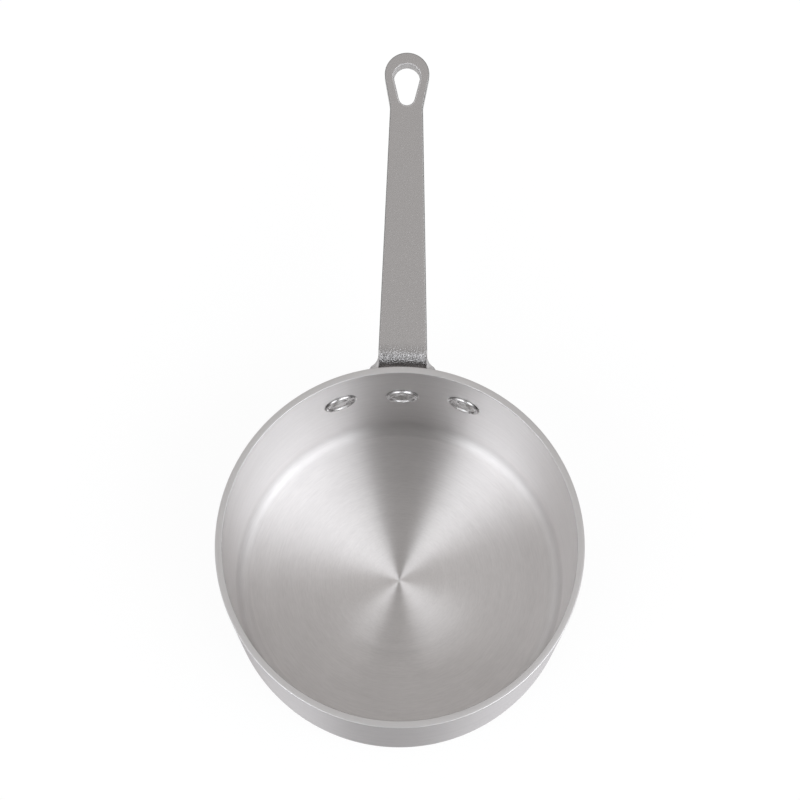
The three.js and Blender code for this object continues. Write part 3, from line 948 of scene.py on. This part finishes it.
# %% Keyhole and its collar
HOLE_FAR, HOLE_NEAR = 7.6, 4.7
HOLE_CENTRES = 12.2
HOLE_MARGIN = 7.3
HOLE_FAR_S = TIP - HOLE_MARGIN - HOLE_FAR
HOLE_NEAR_S = HOLE_FAR_S - HOLE_CENTRES
LIP_ROUND = 1.0
COLLAR_DEPTH = 8.2
COLLAR_STEPS = 4
FLAT_SHARES = (0, 0.03, 0.5, 0.97, 1)
hole_lean = asin((HOLE_FAR - HOLE_NEAR) / HOLE_CENTRES)
near_length = (HOLE_NEAR + LIP_ROUND) * (QUARTER - hole_lean)
side_length = HOLE_CENTRES * cos(hole_lean)
far_length = (HOLE_FAR + LIP_ROUND) * (QUARTER + hole_lean)


def hole_edge(share):
    """Place and angle of the hole's edge, from the near end (0) round to the far end (1)."""
    length = share * (near_length + side_length + far_length)
    if length < near_length:
        angle = -QUARTER + length / (HOLE_NEAR + LIP_ROUND)
        middle, radius = HOLE_NEAR_S, HOLE_NEAR
    elif length < near_length + side_length:
        along = (length - near_length) / side_length
        angle = -hole_lean
        middle = HOLE_NEAR_S + HOLE_CENTRES * along
        radius = HOLE_NEAR + (HOLE_FAR - HOLE_NEAR) * along
    else:
        angle = -hole_lean + (length - near_length - side_length) / (HOLE_FAR + LIP_ROUND)
        middle, radius = HOLE_FAR_S, HOLE_FAR
    return radius * cos(angle), middle + radius * sin(angle), angle


def lip_column(share):
    """A column over the lip's round and down the collar."""
    x, s, angle = hole_edge(share)
    points = rounded_edge(x, s, -cos(angle), -sin(angle), LIP_ROUND)
    return points + between(points[-1], on_plate(x, s, COLLAR_DEPTH), COLLAR_STEPS)


around = plate_rows[-1] + [column[0] for column in eye_columns]
lengths = [0.0]
for before, after in zip(around, around[1:]):
    lengths.append(lengths[-1] + (after - before).length)
lip = [lip_column(length / lengths[-1]) for length in lengths]
eye_flat = []
for outer, column in zip(around, lip):
    eye_flat.append([outer.lerp(column[0], share) for share in FLAT_SHARES])
print("keyhole:", len(lip), "columns")

# %% [markdown]
# ### Sewing
# All patches share the points along their seams, so they are collected side by side, mirrored, and sewn
# together by merging the points that coincide. The skin has to face outward everywhere before it gets its
# thickness.

# %% Sew the skin
MERGE, SPECK = 0.000002, 0.000001
skin_points, skin_faces = [], []


def sew(columns):
    """Adds a patch of quads through columns of points."""
    start, height = len(skin_points), len(columns[0])
    for column in columns:
        skin_points.extend(column)
    for i in range(len(columns) - 1):
        for j in range(height - 1):
            corner = start + i * height + j
            skin_faces.append((corner, corner + 1, corner + height + 1, corner + height))


def merged(mesh):
    """A mesh for editing, with its coinciding points merged and its specks taken out."""
    editing = bmesh.new()
    editing.from_mesh(mesh)
    bmesh.ops.remove_doubles(editing, verts=editing.verts, dist=MERGE)
    bmesh.ops.dissolve_degenerate(editing, edges=editing.edges, dist=SPECK)
    return editing


seam = [channel[0][SLIT_STEP:]]
for patch in (channel + eye_columns, seam + foot_columns + wing_columns, plate_rows, tab_rows, eye_flat, lip):
    sew(patch)
half_count = len(skin_points)
skin_points += [Vector((-point.x, point.y, point.z)) for point in skin_points]
skin_faces += [tuple(half_count + number for number in reversed(face)) for face in skin_faces]
skin = mesh_from("skin", skin_points, skin_faces)
sewing = merged(skin)
bmesh.ops.recalc_face_normals(sewing, faces=sewing.faces)
plate_face = max(sewing.faces, key=lambda face: face.calc_area() * abs(face.normal.z))
if plate_face.normal.z < 0:
    bmesh.ops.reverse_faces(sewing, faces=sewing.faces)
open_edges = [edge for edge in sewing.edges if edge.is_boundary]
bad_edges = [edge for edge in sewing.edges if len(edge.link_faces) > 2]
print("skin:", len(sewing.faces), "faces,", len(open_edges), "open edges,", len(bad_edges), "bad edges")
sewing.to_mesh(skin)
sewing.free()

# %% [markdown]
# ### Thickness
# Where an edge is rounded more tightly than the sheet is thick, the inner side of a pressed sheet is a
# sharp corner. The modifier can't know that, so the inner points behind a rounded edge are gathered in that
# corner.

# %% Give it thickness
INWARD = {"offset": -1.0, "use_even_offset": True, "use_quality_normals": True}
thick = worked(skin, "SOLIDIFY", thickness=SHEET * MM, **INWARD)
corner_finder = KDTree(len(inner_corners))
for number, (outer, inner) in enumerate(inner_corners):
    corner_finder.insert(outer * MM, number)
corner_finder.balance()
skin_count = len(skin.vertices)
for number in range(skin_count):
    skin_place = skin.vertices[number].co
    mirror = Vector((1 if skin_place.x >= 0 else -1, 1, 1))
    _, nearest, distance = corner_finder.find(skin_place * mirror)
    if distance < MERGE:
        thick.vertices[skin_count + number].co = inner_corners[nearest][1] * mirror * MM
closing = merged(thick)
loose_edges = [edge for edge in closing.edges if not edge.is_manifold]
print("shell:", len(closing.faces), "faces,", len(loose_edges), "open edges")
closing.to_mesh(thick)
closing.free()

# %% [markdown]
# The handle has four finishes on one mesh. A face is told by its place along the plate and below it, by its
# tilt, which is 1 where it lies flat on the plate and 0 where it stands upright, and by whether it looks
# outward or into the keyhole. The bend gets the steel with painted light and shade, the outer edges painted
# shade, and the lip and the flare's upper faces painted light.

# %% Drill and finish the handle
HANDLE_CREASE = 30
EDGE_SHADE, EDGE_LIGHT, PAINTED_BEND = 1, 2, 3
EYE_ZONE = NECK - 8
EDGE_DEPTH, FLARE_DEPTH = 1.2, 8
TILT_UNDER, TILT_UP, TILT_EDGE, TILT_LIP = -0.2, 0.25, 0.9, 0.995
handle_metals = [steel, edge_painted_shade, edge_painted_light, bend_steel_painted_light]
handle_mesh = drilled(thick)
show("pressed_handle", handle_mesh, HANDLE_CREASE, handle_metals, "handle")
plate_up = Vector((0, -sin(SLOPE), cos(SLOPE)))
plate_along = Vector((0, cos(SLOPE), sin(SLOPE)))
plate_root = on_plate(0, 0) * MM
eye_middle = on_plate(0, EYE) * MM
tab_edge = (ROOT_HALF - EDGE_ROUND) * MM


def handle_finish(face):
    """The number of a face's finish."""
    from_root = face.center - plate_root
    along, depth = from_root.dot(plate_along) / MM, -from_root.dot(plate_up) / MM
    tilt = face.normal.dot(plate_up)
    from_middle = Vector((face.center.x, 0, 0)) if along < EYE_ZONE else face.center - eye_middle
    facing = face.normal.dot(from_middle)
    on_tab = abs(face.center.x) < tab_edge
    # The bend: steel with painted light and shade.
    if on_tab and face.center.y < PLATE_ZONE[0] * MM:
        if tilt > TILT_EDGE or (face.normal.y < 0 and depth < 2 * ELBOW):
            return PAINTED_BEND
    if along > BEND:
        # Outer edges: painted shade.
        if depth < EDGE_DEPTH and TILT_UNDER < tilt < TILT_EDGE and facing > 0:
            return EDGE_SHADE
        # Lip and collar: painted light.
        if depth < COLLAR_DEPTH and TILT_UNDER < tilt < TILT_LIP and facing < 0:
            return EDGE_LIGHT
    # Flare tops: painted light.
    elif not on_tab and depth < FLARE_DEPTH and tilt > TILT_UP:
        return EDGE_LIGHT
    return 0


for face in handle_mesh.polygons:
    face.material_index = handle_finish(face)
bpy.data.objects.remove(drill)
print("edges:", sum(face.material_index > 0 for face in handle_mesh.polygons), "faces")

# %% [markdown]
# ## Studio
# The pan stands on a white sweep with no visible edge. The floor is mostly white light of its own to the
# camera and in reflections, and partly a plain pale surface that keeps a soft shadow. From below it is
# clear, so that the underside can be seen.

# %% Floor
FLOOR_REACH = 12.0
FLOOR_Z = -0.0002
GLOW_SHARE = 0.92
floor_mesh = bpy.data.meshes.new("floor")
corners = [(-1, -1), (1, -1), (1, 1), (-1, 1)]
floor_points = [(x * FLOOR_REACH, y * FLOOR_REACH, FLOOR_Z) for x, y in corners]
floor_mesh.from_pydata(floor_points, [], [(0, 1, 2, 3)])
floor = bpy.data.objects.new("floor", floor_mesh)
scene.collection.objects.link(floor)
print("floor", 2 * FLOOR_REACH, "m across")

# %% White sweep
white = bpy.data.materials.new("white_sweep")
white.use_nodes = True
sweep = white.node_tree
sweep.nodes.clear()
paper = new_node(sweep, "ShaderNodeBsdfDiffuse", {"Color": (0.95, 0.95, 0.95, 1.0)}).outputs[0]
glow = new_node(sweep, "ShaderNodeEmission", {"Strength": 1.0}).outputs[0]
rays = new_node(sweep, "ShaderNodeLightPath").outputs
seen = math_node(sweep, "MAXIMUM", rays["Is Camera Ray"], rays["Is Glossy Ray"])
seen = math_node(sweep, "MAXIMUM", seen, rays["Is Transmission Ray"])
glowing = math_node(sweep, "MULTIPLY", seen, GLOW_SHARE)
mixed = new_node(sweep, "ShaderNodeMixShader", {"Fac": glowing, 1: paper, 2: glow}).outputs[0]
behind = new_node(sweep, "ShaderNodeNewGeometry").outputs["Backfacing"]
clear = new_node(sweep, "ShaderNodeBsdfTransparent").outputs[0]
one_way = new_node(sweep, "ShaderNodeMixShader", {"Fac": behind, 1: mixed, 2: clear}).outputs[0]
new_node(sweep, "ShaderNodeOutputMaterial", {"Surface": one_way})
floor_mesh.materials.append(white)
print("sweep", len(sweep.nodes), "nodes")

# %% [markdown]
# ## Light
# The light is a plain room with two wide soft boxes in front, one to each side, and a dark gap between
# them. The gap is what makes the dark wedge on the floor of the pan and splits the light on the rivets. The
# right box is two patches, of which the second makes its middle brighter. A faint box on the left and a low
# glow in front fill the shadows. Area lamps could do this, but their straight edges would blur the wedge,
# so the boxes are painted on the world by azimuth and elevation. The room is a little warm and the boxes a
# little cool.

# %% Directions of the world
world = bpy.data.worlds.new("studio")
world.use_nodes = True
sky = world.node_tree
sky_place = new_node(sky, "ShaderNodeTexCoord").outputs["Generated"]
sky_elevation = math_node(sky, "ARCSINE", split(sky, sky_place)["Z"], 0.0)
print("world", len(sky.nodes), "nodes for directions")


def fade(value, none, full):
    """Runs smoothly from 0, where value is none, to 1, where it is full, both in degrees."""
    inputs = {"Value": value, "From Min": radians(none), "From Max": radians(full)}
    return new_node(sky, "ShaderNodeMapRange", inputs, interpolation_type="SMOOTHSTEP").outputs[0]


def band(value, start, full_start, full_end, end):
    """Rises from start to full_start and falls from full_end to end, all in degrees."""
    return math_node(sky, "MULTIPLY", fade(value, start, full_start), fade(value, end, full_end))


def soft_box(middle, azimuths, elevations, brightness):
    """A bright patch. Azimuths are counted from its middle, which is counted from +X, all in degrees."""
    inputs = {"Vector": sky_place, "Angle": radians(-middle)}
    turned_sky = new_node(sky, "ShaderNodeVectorRotate", inputs, rotation_type="Z_AXIS").outputs[0]
    parts = split(sky, turned_sky)
    azimuth = math_node(sky, "ARCTAN2", parts["Y"], parts["X"])
    patch = math_node(sky, "MULTIPLY", band(azimuth, *azimuths), band(sky_elevation, *elevations))
    return math_node(sky, "MULTIPLY", patch, brightness)

# %% Room and soft boxes
ROOM, GAP, HORIZON = 0.68, 0.03, 0.2
HORIZON_FADE = (4, 24)
ROOM_TINT, BOX_TINT = (1.02, 1.0, 0.985, 1.0), (0.965, 1.0, 1.045, 1.0)
SOFT_BOXES = [
    (-36, (-38, -30, 26, 58), (12, 36, 60, 70), 1.9),
    (-36, (-30, 0, 5, 46), (12, 36, 60, 70), 1.27),
    (-134, (-44, -6, 5, 24), (18, 38, 58, 68), 3.3),
    (165, (-40, -15, 15, 40), (16, 26, 40, 54), 0.5),
    (-92, (-50, -20, 20, 50), (4, 12, 22, 36), 0.7),
]
dark_gap = soft_box(-92, (-34, -18, 18, 34), (26, 38, 68, 84), GAP - ROOM)
risen = math_node(sky, "MULTIPLY", fade(sky_elevation, *HORIZON_FADE), 1 - HORIZON)
above = math_node(sky, "ADD", risen, HORIZON)
room = math_node(sky, "MULTIPLY", math_node(sky, "ADD", dark_gap, ROOM), above)
box_light = 0.0
for soft_box_values in SOFT_BOXES:
    box_light = math_node(sky, "ADD", soft_box(*soft_box_values), box_light)
light = math_node(sky, "ADD", room, box_light)
tint_inputs = {"Factor": math_node(sky, "DIVIDE", box_light, light), "A": ROOM_TINT, "B": BOX_TINT}
tint = new_node(sky, "ShaderNodeMix", tint_inputs, data_type="RGBA").outputs["Result"]
feed(sky.nodes["Background"], {"Color": tint, "Strength": light})
scene.world = world
print("world", len(sky.nodes), "nodes")
